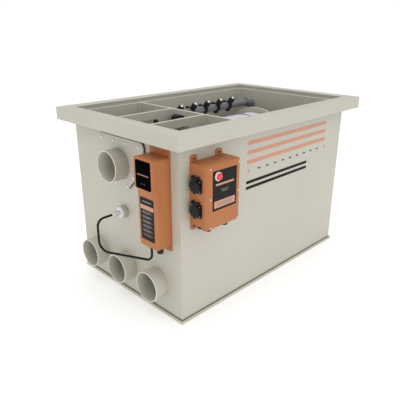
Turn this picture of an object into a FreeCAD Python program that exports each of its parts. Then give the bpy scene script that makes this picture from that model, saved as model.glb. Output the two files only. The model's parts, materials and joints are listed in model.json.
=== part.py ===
import FreeCAD, Part
import math
import os

# Open-top drum filter for a garden pond: a welded plastic tank with a screening drum, a rinse bar,
# an ultraviolet lamp and two control boxes. X runs across the tank, Y along it, Z is up.
# The origin is the centre of the base plate's underside. The pipe stubs are on the -Y wall,
# and the control box is on the +X wall. All sizes are in millimetres.

# ---- tank ----
TANK_X = 610.0          # outside of the side walls
TANK_Y = 985.0          # outside of the end walls
TANK_H = 694.0          # top of the rim
BASE_T = 10.0
BASE_LIP = 8.0          # base plate beyond the walls
WALL_T = 10.0
LEDGE_Z = 676.0         # step that a lid rests on; the divider tops are level with it
UPSTAND_T = 5.0         # thinner wall above the ledge
RIM_OUT = 50.0          # rim beyond the walls
RIM_H = 49.0
RIM_T = 5.0

HALF_X = TANK_X / 2
HALF_Y = TANK_Y / 2
IN_X = HALF_X - WALL_T
IN_Y = HALF_Y - WALL_T
FRONT = -HALF_Y         # outer face of the pipe wall

# ---- dividers ----
DIV_T = 10.0
CROSS_Y = -175.0        # centre plane of the divider in front of the drum
CROSS_FRONT = CROSS_Y - DIV_T / 2
CROSS_BACK = CROSS_Y + DIV_T / 2
LEFT_DIV_X = -89.0
RIGHT_DIV_X = 97.5
SLOT_Y = (-335.0, -258.0)    # overflow slot in each long divider
SLOT_Z = (560.0, 645.0)
WINDOW_X = 195.0        # filtered water windows, each side of the drum
WINDOW_W = 130.0
WINDOW_Z = (60.0, 230.0)

# ---- pipes ----
PIPE_R = 57.15          # 4 inch pipe
PIPE_WALL = 3.2
STUB_OUT = 60.5         # stub beyond the face it is welded on
STUB_X = (-183.0, 0.0, 183.0)
STUB_Z = 120.5
PIPE_BORE = PIPE_R - PIPE_WALL

# ---- waste outlet plate ----
OUT_X = 0.0
OUT_Z = 530.0
PLATE_HALF = 134.5
PLATE_TOP = 626.0
PLATE_SIDE = 540.0      # lower end of the straight sides
PLATE_BOTTOM = 445.0
PLATE_CORNER = 20.0
PLATE_T = 5.5
GASKET_T = 4.5
GASKET_EDGE = 1.6       # gasket beyond the plate
PLATE_SCREWS = ((36.0, 610.0), (108.0, 610.0), (73.5, 495.0), (34.0, 453.0))
SCREW_R = 3.0
SCREW_GRIP = 9.0        # screw's depth in the wall
DARK_SCREW_R = 2.0      # screws of the motor flange and the control box's ears
HEAD_R = 5.5
HEAD_H = 3.5
WASTE_R = 37.5          # 75 mm pipe
WASTE_WALL = 3.0
TROUGH_R = 60.0
TROUGH_T = 3.0
TROUGH_Y = (-100.0, 240.0)

# ---- drum ----
AXIS_Z = 428.0
COLLAR_IN = 150.0
COLLAR_OUT = 160.0
COLLAR_END = -118.0
PORT_R = 72.0           # end radius of the opening in the divider
BAND_R = 164.0
RUN_GAP = 0.06          # radial gap of every running fit
SLEEVE_R = 172.0
NEAR_Y = -160.0         # open end of the drum
GEAR_W = 12.0
FLANGE_R = 186.0
FLANGE_T = 15.0
MESH_R = 187.0
MESH_T = 1.0
CAGE_IN = 170.0
CAGE_BARS = 12
DISC_R = 208.0
DISC_Y = 264.0
DISC_T = 12.0
AXLE_R = 15.0
BUSH_R = 18.0
HUB_R = 22.0
HUB_END = 300.0
BRACKET_Y = 318.0
BRACKET_T = 12.0

# ---- drum drive ----
MODULE = 4.0
GEAR_TEETH = 92
PINION_TEETH = 15
PRESSURE_ANGLE = math.radians(25)
BACKLASH = 0.5
PINION_X = -40.0
CENTRES = MODULE * (GEAR_TEETH + PINION_TEETH) / 2
PINION_Z = AXIS_Z + math.sqrt(CENTRES ** 2 - PINION_X ** 2)
SHAFT_R = 5.0

# ---- rinse bar ----
BAR_X = -150.0
BAR_Z = 633.0
BAR_R = 16.0
BAR_WALL = 2.4
BAR_Y = (-148.0, 384.0)
NOZZLES = 5
NOZZLE_Y = -92.0        # first nozzle
NOZZLE_PITCH = 81.0
NOZZLE_TILT = 50.0      # degrees above level, towards +X
SOCKET_R = 21.0
ELBOW_Y = 390.0
BEND_R = 24.0
RISER_Y = ELBOW_Y + BEND_R
PUMP_TOP = 175.0

# ---- lamp driver box on the pipe wall ----
DRIVER_X = (164.0, 259.0)
DRIVER_Z = (289.0, 604.0)
DRIVER_D = 64.0
HEAD_Z = 496.0
HEAD_D = 75.0
SHELL_T = 2.5
BACK_T = 3.0
CABLE_ENTRY = (212.0, -543.0)    # where the lamp cable enters the driver's underside
RELIEF_LEN = 8.0

# ---- lamp ----
LAMP_X = -3.0
LAMP_Z = 343.7
SLEEVE_OUT = 11.5       # radius of the glass sleeve
LAMP_SPIGOT_R = 14.0
SOCKET_FACE = FRONT - 20
RING_FACE = SOCKET_FACE - 6
CABLE_START = FRONT - 60
CABLE_R = 4.2
CABLE_OUT = -615.0      # front of the cable's loop
CABLE_LOW = (220.0, 236.0)      # heights of its two lower corners
CABLE_BENDS = (28.0, 38.0, 25.0)

# ---- control box on the side wall ----
BOX_Y = (-450.5, -290.5)
BOX_Z = (368.0, 588.0)
BOX_D = 80.0
TRAY_D = 57.0
TRAY_LOW = 375.0         # the tray ends a little above the cover
BOX_FACE = HALF_X + BOX_D
TRAY_FACE = HALF_X + TRAY_D
BOX_ROUND = 14.0        # front edges of the cover
BOX_CORNER = 4.0        # edges that run back to the wall
EAR_T = 4.0
EAR_Y = (-435.0, -317.5)
EAR_HOLE = (364.0, 597.5)
BUTTON_Y = -404.0
BUTTON_Z = 549.0
BUTTON_R = 12.0
SOCKET_X = 337.0
SOCKET_Z = (433.0, 518.0)
LID_R = 22.0
HINGE_UP = 27.0         # lid hinge above the socket's centre
HINGE_OUT = 8.5         # lid hinge in front of the box's side

V = FreeCAD.Vector
ALONG_X = V(1, 0, 0)
ALONG_Y = V(0, 1, 0)
UP = V(0, 0, 1)
DOWN = V(0, 0, -1)


# ---------- shape helpers ----------

def block(x, y, z):
    """Box from three (low, high) pairs."""
    return Part.makeBox(x[1] - x[0], y[1] - y[0], z[1] - z[0], V(x[0], y[0], z[0]))


def rod(start, direction, radius, length):
    return Part.makeCylinder(radius, length, start, direction)


def turned(base, direction, profile):
    """Solid of revolution: profile holds (radius, height along direction) points."""
    points = [V(radius, 0, height) for radius, height in profile]
    face = Part.Face(Part.makePolygon(points + points[:1]))
    solid = face.revolve(V(0, 0, 0), UP, 360)
    solid.Placement = FreeCAD.Placement(base, FreeCAD.Rotation(UP, direction))
    return solid


def turned_y(x, z, profile):
    """Solid of revolution about a line along Y: profile holds (radius, y) points."""
    return turned(V(x, 0, z), ALONG_Y, profile)


def ring_y(x, z, inner, outer, y):
    return turned_y(x, z, [(inner, y[0]), (outer, y[0]), (outer, y[1]), (inner, y[1])])


def prism_y(points, y):
    """Solid from an outline of (x, z) points."""
    corners = [V(x, y[0], z) for x, z in points]
    return Part.Face(Part.makePolygon(corners + corners[:1])).extrude(V(0, y[1] - y[0], 0))


def fuse(shapes):
    return shapes[0].multiFuse(shapes[1:]).removeSplitter()


def cut(shape, tools):
    return shape.cut(Part.makeCompound(tools))


def edges_where(shape, test):
    return [edge for edge in shape.Edges if test(edge.BoundBox)]


def around(shape, x, z, count):
    """Copies of shape spaced evenly about a line along Y."""
    copies = []
    for step in range(count):
        copy = shape.copy()
        copy.rotate(V(x, 0, z), ALONG_Y, step * 360.0 / count)
        copies.append(copy)
    return copies


def save(node, shapes):
    solid_list = shapes if isinstance(shapes, list) else [shapes]
    shape = solid_list[0] if len(solid_list) == 1 else Part.makeCompound(solid_list)
    shape.exportStep("parts/" + node + ".step")


# ---------- tank ----------

def base_plate():
    x_out = HALF_X + BASE_LIP
    y_out = HALF_Y + BASE_LIP
    return block((-x_out, x_out), (-y_out, y_out), (0, BASE_T))


def end_wall(side):
    """Full-width wall, side is -1 for the pipe end and 1 for the far end."""
    lower = block((-HALF_X, HALF_X), sorted((side * HALF_Y, side * IN_Y)), (BASE_T, LEDGE_Z))
    thin = sorted((side * HALF_Y, side * (HALF_Y - UPSTAND_T)))
    return fuse([lower, block((-HALF_X, HALF_X), thin, (LEDGE_Z, TANK_H))])


def side_wall(side):
    """Wall between the end walls, side is -1 or 1."""
    lower = block(sorted((side * HALF_X, side * IN_X)), (-IN_Y, IN_Y), (BASE_T, LEDGE_Z))
    reach = HALF_Y - UPSTAND_T
    thin = sorted((side * HALF_X, side * (HALF_X - UPSTAND_T)))
    return fuse([lower, block(thin, (-reach, reach), (LEDGE_Z, TANK_H))])


def plate_screw_places():
    return [(OUT_X + side * dx, z) for dx, z in PLATE_SCREWS for side in (-1, 1)]


def pipe_wall():
    start = FRONT - 1
    depth = WALL_T + 2
    holes = [rod(V(x, start, STUB_Z), ALONG_Y, PIPE_BORE, depth) for x in STUB_X]
    holes.append(rod(V(OUT_X, start, OUT_Z), ALONG_Y, PIPE_BORE, depth))
    holes.append(rod(V(LAMP_X, start, LAMP_Z), ALONG_Y, LAMP_SPIGOT_R, depth))
    for x, z in plate_screw_places():
        holes.append(rod(V(x, FRONT, z), ALONG_Y, SCREW_R, SCREW_GRIP))
    return cut(end_wall(-1), holes)


def rim_frame():
    """Four angle boards, a top flange with a skirt, mitred at the corners."""
    x_out, y_out = HALF_X + RIM_OUT, HALF_Y + RIM_OUT
    low = TANK_H - RIM_H
    outer = block((-x_out, x_out), (-y_out, y_out), (low, TANK_H))
    under = block((-x_out + RIM_T, x_out - RIM_T), (-y_out + RIM_T, y_out - RIM_T), (low - 1, TANK_H - RIM_T))
    opening = block((-HALF_X, HALF_X), (-HALF_Y, HALF_Y), (low - 1, TANK_H + 1))
    frame = cut(outer, [under, opening])
    boards = []
    for side in (-1, 1):
        end = [(-x_out, side * y_out), (x_out, side * y_out),
               (HALF_X, side * HALF_Y), (-HALF_X, side * HALF_Y)]
        flank = [(side * x_out, -y_out), (side * x_out, y_out),
                 (side * HALF_X, HALF_Y), (side * HALF_X, -HALF_Y)]
        for outline in (end, flank):
            corners = [V(x, y, low) for x, y in outline]
            wedge = Part.Face(Part.makePolygon(corners + corners[:1])).extrude(V(0, 0, RIM_H))
            boards.append(frame.common(wedge).Solids[0])
    return boards


def cross_divider():
    plate = block((-IN_X, IN_X), (CROSS_FRONT, CROSS_BACK), (BASE_T, LEDGE_Z))
    y = CROSS_FRONT - 1
    depth = DIV_T + 2
    cuts = [block((-PORT_R, PORT_R), (y, y + depth), (AXIS_Z - PORT_R, AXIS_Z + PORT_R))]
    for side in (-1, 1):
        cuts.append(rod(V(0, y, AXIS_Z + side * PORT_R), ALONG_Y, PORT_R, depth))
        x = side * WINDOW_X
        cuts.append(block((x - WINDOW_W / 2, x + WINDOW_W / 2), (y, y + depth), WINDOW_Z))
    cuts.append(rod(V(PINION_X, y, PINION_Z), ALONG_Y, SHAFT_R + 3, depth))
    for x, z in flange_screw_places():
        cuts.append(rod(V(x, y, z), ALONG_Y, DARK_SCREW_R, depth))
    return cut(plate, cuts)


def long_divider(x):
    plate = block((x - DIV_T / 2, x + DIV_T / 2), (-IN_Y, CROSS_FRONT), (BASE_T, LEDGE_Z))
    return cut(plate, [block((x - DIV_T, x + DIV_T), SLOT_Y, SLOT_Z)])


# ---------- pipe stubs and waste outlet ----------

def stub(x, z, root):
    """Pipe stub that is welded on the face at y = root."""
    mouth = root - STUB_OUT
    chamfer = 1.2
    return turned_y(x, z, [(PIPE_BORE, root), (PIPE_R, root), (PIPE_R, mouth + chamfer),
                           (PIPE_R - chamfer, mouth), (PIPE_BORE, mouth)])


def inlet_stubs():
    return [stub(x, STUB_Z, FRONT) for x in STUB_X]


def plate_outline(grow):
    """Outlet plate's outline as a face in the XZ plane, larger all round by grow."""
    half = PLATE_HALF + grow
    top = PLATE_TOP + grow
    slant = grow * math.tan(math.radians(22.5))
    side = PLATE_SIDE - slant
    bottom = PLATE_BOTTOM - grow
    foot = half - (side - bottom)
    radius = PLATE_CORNER + grow
    bend = radius * math.sqrt(0.5)
    left, right = OUT_X - half, OUT_X + half

    shoulder = top - radius

    def at(x, z):
        return V(x, 0, z)

    arc_left = Part.Arc(at(left, shoulder), at(left + radius - bend, shoulder + bend),
                        at(left + radius, top))
    arc_right = Part.Arc(at(right - radius, top), at(right - radius + bend, shoulder + bend),
                         at(right, shoulder))
    edges = [arc_left.toShape(), Part.makeLine(at(left + radius, top), at(right - radius, top)),
             arc_right.toShape(), Part.makeLine(at(right, shoulder), at(right, side)),
             Part.makeLine(at(right, side), at(OUT_X + foot, bottom)),
             Part.makeLine(at(OUT_X + foot, bottom), at(OUT_X - foot, bottom)),
             Part.makeLine(at(OUT_X - foot, bottom), at(left, side)),
             Part.makeLine(at(left, side), at(left, shoulder))]
    return Part.Face(Part.Wire(edges))


def outlet_sheet(grow, y_back, thickness):
    sheet = plate_outline(grow).extrude(V(0, -thickness, 0))
    sheet.translate(V(0, y_back, 0))
    y = y_back - thickness - 1
    depth = thickness + 2
    holes = [rod(V(OUT_X, y, OUT_Z), ALONG_Y, PIPE_BORE, depth)]
    holes += [rod(V(x, y, z), ALONG_Y, SCREW_R, depth) for x, z in plate_screw_places()]
    return cut(sheet, holes)


def outlet_stub():
    return stub(OUT_X, OUT_Z, FRONT - GASKET_T - PLATE_T)


def pan_screw(head_base, direction, radius, reach):
    """Screw seen from outside: the head stands on head_base, and the shank runs back from it."""
    head_r = HEAD_R * radius / SCREW_R
    head_h = HEAD_H * radius / SCREW_R
    profile = [(0, -reach), (radius, -reach), (radius, 0), (head_r, 0), (head_r, 0.45 * head_h),
               (0.75 * head_r, 0.85 * head_h), (0.3 * head_r, head_h), (0, head_h)]
    return turned(head_base, direction, profile)


def outlet_screws():
    y = FRONT - GASKET_T - PLATE_T
    reach = GASKET_T + PLATE_T + SCREW_GRIP
    return [pan_screw(V(x, y, z), V(0, -1, 0), SCREW_R, reach) for x, z in plate_screw_places()]


def waste_pipe():
    """75 mm pipe from the trough, with the reducer that fits it into the wall's hole."""
    bore = WASTE_R - WASTE_WALL
    mouth = FRONT + 1
    seat_end = FRONT + WALL_T
    end = TROUGH_Y[0] - TROUGH_T
    return turned_y(OUT_X, OUT_Z, [(bore, mouth + 12), (PIPE_BORE - 2, mouth), (PIPE_BORE, mouth),
                                   (PIPE_BORE, seat_end), (WASTE_R, seat_end + 8), (WASTE_R, end),
                                   (bore, end)])


def waste_trough():
    """Half-round channel inside the drum, closed at both ends, with the pipe's mouth at the near end."""
    z = OUT_Z + TROUGH_R - WASTE_R
    channel = ring_y(OUT_X, z, TROUGH_R - TROUGH_T, TROUGH_R, TROUGH_Y)
    near = rod(V(OUT_X, TROUGH_Y[0] - TROUGH_T, z), ALONG_Y, TROUGH_R, TROUGH_T)
    far = rod(V(OUT_X, TROUGH_Y[1], z), ALONG_Y, TROUGH_R, TROUGH_T)
    mouth = rod(V(OUT_X, TROUGH_Y[0] - 2 * TROUGH_T, OUT_Z), ALONG_Y, WASTE_R - WASTE_WALL, 3 * TROUGH_T)
    reach = 2 * TROUGH_R
    upper = block((OUT_X - reach, OUT_X + reach), (TROUGH_Y[0] - 10, TROUGH_Y[1] + 10), (z, z + reach))
    return cut(fuse([channel, near, far]), [mouth, upper])


# ---------- drum and its supports ----------

def drum_collar():
    return ring_y(0, AXIS_Z, COLLAR_IN, COLLAR_OUT, (CROSS_BACK, COLLAR_END))


def bearing_band():
    return ring_y(0, AXIS_Z, COLLAR_OUT, BAND_R, (NEAR_Y, COLLAR_END - 5))


def drum_seal():
    """Lip seal on the collar, just clear of the drum's end."""
    lip = NEAR_Y - 1
    return turned_y(0, AXIS_Z, [(COLLAR_OUT, CROSS_BACK), (SLEEVE_R, CROSS_BACK), (SLEEVE_R, lip - 4),
                                (BAND_R, lip), (COLLAR_OUT, lip)])


def drum_near_ring():
    """Sleeve that runs on the bearing band, with a flange for the cage."""
    bore = BAND_R + RUN_GAP
    gear_end = NEAR_Y + GEAR_W
    flange_end = gear_end + FLANGE_T
    return turned_y(0, AXIS_Z, [(bore, NEAR_Y), (SLEEVE_R, NEAR_Y), (SLEEVE_R, gear_end),
                                (FLANGE_R, gear_end), (FLANGE_R, flange_end), (bore, flange_end)])



def cage_span():
    return NEAR_Y + GEAR_W + FLANGE_T, DISC_Y


def drum_cage():
    """Lengthwise bars and hoops that carry the mesh."""
    start, end = cage_span()
    outer = MESH_R - MESH_T
    bar = block((-4, 4), (start, end), (AXIS_Z + CAGE_IN, AXIS_Z + CAGE_IN + 10))
    hoops = 4
    pitch = (end - start) / hoops
    rings = []
    for step in range(hoops + 1):
        y = min(max(start + step * pitch - 4, start), end - 8)
        rings.append(ring_y(0, AXIS_Z, CAGE_IN + 6, outer, (y, y + 8)))
    return fuse(around(bar, 0, AXIS_Z, CAGE_BARS) + rings)


def drum_mesh():
    return ring_y(0, AXIS_Z, MESH_R - MESH_T, MESH_R, cage_span())


def drum_end_disc():
    edge = 2.0
    far = DISC_Y + DISC_T
    return turned_y(0, AXIS_Z, [(HUB_R, DISC_Y), (DISC_R - edge, DISC_Y), (DISC_R, DISC_Y + edge),
                                (DISC_R, far - edge), (DISC_R - edge, far), (HUB_R, far)])


def drum_hub():
    near = DISC_Y - 14
    far = DISC_Y + DISC_T
    plate = far + 8
    body = turned_y(0, AXIS_Z, [(BUSH_R, near), (HUB_R, near), (HUB_R, far), (2 * HUB_R, far),
                                (2 * HUB_R, plate), (HUB_R + 4, plate), (HUB_R + 4, HUB_END),
                                (BUSH_R, HUB_END)])
    bolt = rod(V(0, plate, AXIS_Z + 1.55 * HUB_R), ALONG_Y, HEAD_R, HEAD_H)
    return fuse([body] + around(bolt, 0, AXIS_Z, 6))


def hub_bush():
    bore = AXLE_R + RUN_GAP
    return turned_y(0, AXIS_Z, [(bore, DISC_Y - 14), (BUSH_R, DISC_Y - 14), (BUSH_R, HUB_END),
                                (HUB_R, HUB_END), (HUB_R, HUB_END + 3), (bore, HUB_END + 3)])


def drum_axle():
    """Fixed stub axle with its shoulder, and the nut behind the bracket."""
    shoulder = BRACKET_Y - 10
    back = BRACKET_Y + BRACKET_T
    axle = turned_y(0, AXIS_Z, [(0, DISC_Y - 24), (AXLE_R - 1, DISC_Y - 24), (AXLE_R, DISC_Y - 23),
                                (AXLE_R, shoulder), (22, shoulder), (22, BRACKET_Y), (AXLE_R, BRACKET_Y),
                                (AXLE_R, back + 20), (0, back + 20)])
    across = 25.0
    hexagon = []
    for step in range(6):
        angle = math.radians(60 * step)
        hexagon.append((across * math.cos(angle), AXIS_Z + across * math.sin(angle)))
    nut = cut(prism_y(hexagon, (back, back + 14)), [rod(V(0, back - 1, AXIS_Z), ALONG_Y, AXLE_R, 16)])
    return [axle, nut]


def axle_bracket():
    """Upright plate with two gussets, standing on the tank floor."""
    half = 60.0
    y = (BRACKET_Y, BRACKET_Y + BRACKET_T)
    upright = block((-half, half), y, (BASE_T, AXIS_Z))
    head = rod(V(0, y[0], AXIS_Z), ALONG_Y, half, BRACKET_T)
    gussets = []
    for side in (-1, 1):
        x = side * (half - 5) - 5
        corners = [V(x, y[1], BASE_T), V(x, y[1] + 90, BASE_T), V(x, y[1], AXIS_Z - 120)]
        gussets.append(Part.Face(Part.makePolygon(corners + corners[:1])).extrude(V(10, 0, 0)))
    body = fuse([upright, head] + gussets)
    return cut(body, [rod(V(0, y[0] - 1, AXIS_Z), ALONG_Y, AXLE_R, BRACKET_T + 2)])


# ---------- drum drive ----------

def involute(angle):
    return math.tan(angle) - angle


def gear_outline(teeth, centre, first_tooth):
    """Involute gear outline as (x, z) points; first_tooth is a tooth's direction in radians."""
    pitch_r = MODULE * teeth / 2
    base_r = pitch_r * math.cos(PRESSURE_ANGLE)
    root_r = pitch_r - 1.2 * MODULE
    tip_r = pitch_r + 0.9 * MODULE
    half_tooth = (math.pi * MODULE / 2 - BACKLASH) / (2 * pitch_r)
    flank = []
    for radius in (root_r, max(base_r, root_r + 0.1), pitch_r, tip_r):
        lean = math.acos(min(1.0, base_r / radius))
        flank.append((radius, half_tooth + involute(PRESSURE_ANGLE) - involute(lean)))
    points = []
    for tooth in range(teeth):
        middle = first_tooth + 2 * math.pi * tooth / teeth
        sides = [(radius, middle - half) for radius, half in flank]
        sides += [(radius, middle + half) for radius, half in reversed(flank)]
        for radius, angle in sides:
            points.append((centre[0] + radius * math.cos(angle), centre[1] + radius * math.sin(angle)))
    return points


def mesh_direction():
    return math.atan2(PINION_Z - AXIS_Z, PINION_X)


def drum_gear():
    y = (NEAR_Y, NEAR_Y + GEAR_W)
    blank = prism_y(gear_outline(GEAR_TEETH, (0, AXIS_Z), mesh_direction()), y)
    return cut(blank, [rod(V(0, y[0] - 1, AXIS_Z), ALONG_Y, SLEEVE_R, GEAR_W + 2)])


def drive_pinion():
    y = (NEAR_Y - 3, NEAR_Y + GEAR_W - 1)
    first = mesh_direction() + math.pi + math.pi / PINION_TEETH
    blank = prism_y(gear_outline(PINION_TEETH, (PINION_X, PINION_Z), first), y)
    return cut(blank, [rod(V(PINION_X, y[0] - 1, PINION_Z), ALONG_Y, SHAFT_R, 20)])


def motor_shaft():
    near = CROSS_FRONT - 20
    far = NEAR_Y + GEAR_W + 6
    profile = [(0, near), (SHAFT_R, near), (SHAFT_R, far - 1), (SHAFT_R - 1, far), (0, far)]
    return turned_y(PINION_X, PINION_Z, profile)


def flange_screw_places():
    return [(PINION_X + dx, PINION_Z + dz) for dx, dz in ((-25, -24), (-25, 12), (25, -24))]


def motor_gearbox():
    """Worm gearbox on its mounting flange, in front of the divider."""
    front = CROSS_FRONT - 30
    low = PINION_Z - 30
    case = block((PINION_X - 15, PINION_X + 15), (front, CROSS_FRONT), (low, PINION_Z + 17))
    case = case.makeFillet(4, edges_where(case, lambda b: b.YMax < front + 0.1 or b.YLength > 20))
    flange = block((PINION_X - 31, PINION_X + 31), (CROSS_FRONT - 4, CROSS_FRONT), (low, PINION_Z + 18))
    flange = flange.makeFillet(5, edges_where(flange, lambda b: b.YLength > 1))
    bore = rod(V(PINION_X, CROSS_FRONT - 20, PINION_Z), ALONG_Y, SHAFT_R + RUN_GAP, 21)
    holes = [rod(V(x, CROSS_FRONT - 5, z), ALONG_Y, DARK_SCREW_R, 6) for x, z in flange_screw_places()]
    return cut(fuse([case, flange]), [bore] + holes)


def motor_can():
    """Motor body that lies along X beside the gearbox, with its stepped end cap."""
    start = V(PINION_X + 15, CROSS_FRONT - 17, PINION_Z + 2)
    profile = [(0, 0), (9, 0), (9, 3), (12, 4), (12, 48), (11, 49), (11, 60), (9, 62), (0, 62)]
    return turned(start, ALONG_X, profile)


def dark_screws():
    """Black screws through the motor's flange and through the control box's ears."""
    screws = []
    for x, z in flange_screw_places():
        screws.append(pan_screw(V(x, CROSS_FRONT - 4, z), V(0, -1, 0), DARK_SCREW_R, 10))
    for y in EAR_Y:
        for z in EAR_HOLE:
            screws.append(pan_screw(V(HALF_X + EAR_T, y, z), ALONG_X, DARK_SCREW_R, EAR_T))
    return screws


# ---------- rinse bar ----------

def spray_bar():
    return ring_y(BAR_X, BAR_Z, BAR_R - BAR_WALL, BAR_R, BAR_Y)


def spray_end_cap():
    """Cap on the bar's near end, with the pin that turns in the bracket."""
    plug = BAR_R - BAR_WALL
    face = BAR_Y[0] - 6
    lip = BAR_R + 3
    return turned_y(BAR_X, BAR_Z, [(0, face - 12), (8, face - 12), (8, face), (lip - 2, face),
                                   (lip, face + 2), (lip, BAR_Y[0] + 14), (BAR_R, BAR_Y[0] + 14),
                                   (BAR_R, BAR_Y[0]), (plug, BAR_Y[0]), (0, BAR_Y[0])])



def bar_bracket():
    y = (CROSS_BACK, CROSS_BACK + 8)
    plate = block((BAR_X - 18, BAR_X + 18), y, (BAR_Z - 24, BAR_Z + 20))
    plate = plate.makeFillet(6, edges_where(plate, lambda b: b.YLength > 1))
    return cut(plate, [rod(V(BAR_X, y[0] - 1, BAR_Z), ALONG_Y, 8 + RUN_GAP, 10)])


def nozzle_places():
    return [NOZZLE_Y + NOZZLE_PITCH * step for step in range(NOZZLES)]


def nozzle_aim():
    tilt = math.radians(NOZZLE_TILT)
    return V(math.cos(tilt), 0, math.sin(tilt))


def clamp(y):
    """Split clamp round the bar: ring, bolted lug behind, foot below and nozzle neck in front."""
    half = 8.5
    span = (y - half, y + half)
    ring = ring_y(BAR_X, BAR_Z, BAR_R, SOCKET_R, span)
    lug = block((BAR_X - 31, BAR_X - 17), (y - 6, y + 6), (BAR_Z - 6, BAR_Z + 6))
    lug.rotate(V(BAR_X, y, BAR_Z), ALONG_Y, 35)
    foot = block((BAR_X - 7, BAR_X + 7), span, (BAR_Z - 27, BAR_Z - 17))
    neck = rod(V(BAR_X, y, BAR_Z) + nozzle_aim() * 17, nozzle_aim(), 8.5, 10)
    return cut(fuse([ring, lug, foot, neck]), [rod(V(BAR_X, y - 20, BAR_Z), ALONG_Y, BAR_R, 40)])


def nozzle_clamps():
    return [clamp(y) for y in nozzle_places()]


def spray_nozzles():
    """Nozzle cap on each neck, with its flat spray tip."""
    profile = [(0, 0), (13.5, 0), (13.5, 12), (11, 17), (11, 20), (8, 22), (0, 22)]
    return [turned(V(BAR_X, y, BAR_Z) + nozzle_aim() * 27, nozzle_aim(), profile) for y in nozzle_places()]


def spray_elbow():
    """Elbow from the bar down to the riser, with a socket at each end."""
    centre = V(BAR_X, ELBOW_Y, BAR_Z - BEND_R)

    def bend(radius):
        circle = Part.Wire(Part.makeCircle(radius, V(BAR_X, ELBOW_Y, BAR_Z), ALONG_Y))
        return Part.Face(circle).revolve(centre, V(-1, 0, 0), 90)

    low = BAR_Z - BEND_R
    bar_socket = rod(V(BAR_X, ELBOW_Y - 24, BAR_Z), ALONG_Y, SOCKET_R, 24)
    riser_socket = rod(V(BAR_X, RISER_Y, low), DOWN, SOCKET_R, 24)
    bar_bore = rod(V(BAR_X, ELBOW_Y - 25, BAR_Z), ALONG_Y, BAR_R + RUN_GAP, 20)
    riser_bore = rod(V(BAR_X, RISER_Y, low - 4), DOWN, BAR_R, 21)
    throat = fuse([rod(V(BAR_X, ELBOW_Y - 6, BAR_Z), ALONG_Y, 13, 6), bend(13),
                   rod(V(BAR_X, RISER_Y, low), DOWN, 13, 5)])
    return cut(fuse([bar_socket, bend(18.5), riser_socket]), [bar_bore, riser_bore, throat])


def riser_pipe():
    top = BAR_Z - BEND_R - 4
    outer = rod(V(BAR_X, RISER_Y, PUMP_TOP), UP, BAR_R, top - PUMP_TOP)
    return cut(outer, [rod(V(BAR_X, RISER_Y, PUMP_TOP - 1), UP, BAR_R - BAR_WALL, top)])


def rinse_pump():
    """Submerged pump that feeds the bar: slotted base, body and outlet spigot."""
    body = turned(V(BAR_X, RISER_Y, BASE_T), UP,
                  [(0, 0), (46, 0), (46, 8), (42, 12), (42, 46), (45, 48), (45, 112), (38, 122), (22, 128),
                   (22, PUMP_TOP - BASE_T), (0, PUMP_TOP - BASE_T)])
    slot = block((BAR_X - 2.5, BAR_X + 2.5), (RISER_Y + 37, RISER_Y + 50), (BASE_T + 16, BASE_T + 42))
    slots = []
    for step in range(24):
        copy = slot.copy()
        copy.rotate(V(BAR_X, RISER_Y, 0), UP, step * 15)
        slots.append(copy)
    return cut(body, slots)


# ---------- lamp driver box ----------

def soft_block(x, y, z, corner, radius, keep_flat):
    """Box with rounded corners, and rounded edges on its face away from keep_flat (y value)."""
    shape = block(x, y, z)
    shape = shape.makeFillet(corner, edges_where(shape, lambda b: b.YLength > 1))
    face = edges_where(shape, lambda b: b.YLength < 0.01 and abs(b.YMin - keep_flat) > 0.01)
    return shape.makeFillet(radius, face)


def driver_back():
    plate = block((DRIVER_X[0] - 4, DRIVER_X[1] + 3), (FRONT - BACK_T, FRONT), (270, 640))
    return plate.makeFillet(4, edges_where(plate, lambda b: b.YLength > 1))


def driver_housing():
    """Hollow cover, deeper at its head, open at the back."""
    back = FRONT - BACK_T
    low = soft_block(DRIVER_X, (FRONT - DRIVER_D, back), DRIVER_Z, 10, 8, back)
    head = soft_block(DRIVER_X, (FRONT - HEAD_D, back), (HEAD_Z, DRIVER_Z[1]), 8, 6, back)
    x_in = (DRIVER_X[0] + SHELL_T, DRIVER_X[1] - SHELL_T)
    z_in = (DRIVER_Z[0] + SHELL_T, DRIVER_Z[1] - SHELL_T)
    hollow = soft_block(x_in, (FRONT - DRIVER_D + SHELL_T, back + 1), z_in, 7.5, 5.5, back + 1)
    head_in = (HEAD_Z + SHELL_T, z_in[1])
    hollow_head = soft_block(x_in, (FRONT - HEAD_D + SHELL_T, back + 1), head_in, 5.5, 3.5, back + 1)
    return cut(fuse([low, head]), [hollow, hollow_head])


def driver_screen():
    """Dark window that nearly fills the head's flat face."""
    face = FRONT - HEAD_D
    flat_x = (DRIVER_X[0] + 12, DRIVER_X[1] - 6.5)
    flat_z = (HEAD_Z + 6.5, DRIVER_Z[1] - 6.5)
    plate = block(flat_x, (face - 1.2, face), flat_z)
    return plate.makeFillet(6, edges_where(plate, lambda b: b.YLength > 1))


def gland(x, y, z, drop):
    """Cable gland with a domed nut that hangs from a box's underside."""
    r = 11.5
    profile = [(0, 0), (r - 0.5, 0), (r - 0.5, 3), (r - 1.5, 3.5), (r - 1.5, 4.5), (r, 5),
               (r, drop - 4.5), (r - 2, drop - 1.5), (r - 5, drop), (0, drop)]
    return turned(V(x, y, z), DOWN, profile)


def cable_glands():
    relief = turned(V(CABLE_ENTRY[0], CABLE_ENTRY[1], DRIVER_Z[0]), DOWN,
                    [(0, 0), (6.5, 0), (6.5, 3), (5.5, RELIEF_LEN), (0, RELIEF_LEN)])
    glands = [gland(238, -527, DRIVER_Z[0], 22)]
    for out, y, drop in ((20, -420, 21), (45, -411, 25), (45, -330, 26)):
        glands.append(gland(HALF_X + out, y, TRAY_LOW, drop))
    return [relief] + glands


# ---------- lamp ----------

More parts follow.
